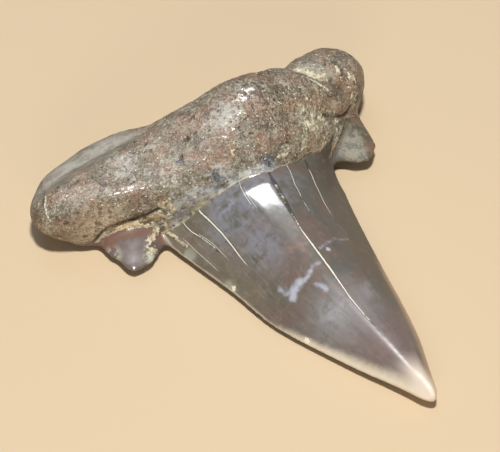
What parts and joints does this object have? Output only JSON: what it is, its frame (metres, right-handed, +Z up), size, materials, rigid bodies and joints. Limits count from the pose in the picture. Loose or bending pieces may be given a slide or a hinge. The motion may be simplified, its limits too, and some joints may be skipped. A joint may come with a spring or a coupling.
{
  "type": "fossil shark tooth",
  "caption": "Fossil shark tooth with a broad triangular crown, small side cusplets and a thick lobed root, lying on its flat face.",
  "frame": {"origin": "on the surface that the tooth lies on, under the middle of its bounding box", "axes": "+X along the root from the left lobe to the right lobe, +Y from the crown's tip to the root, +Z up through the lingual face"},
  "size_m": [0.0274, 0.0312, 0.0081],
  "materials": {
    "fossil_tooth": "glossy brown-grey enamel crown, rough reddish-brown root"
  },
  "bodies": {
    "root": {"tooth": "fossil_tooth"}
  },
  "joints": []
}
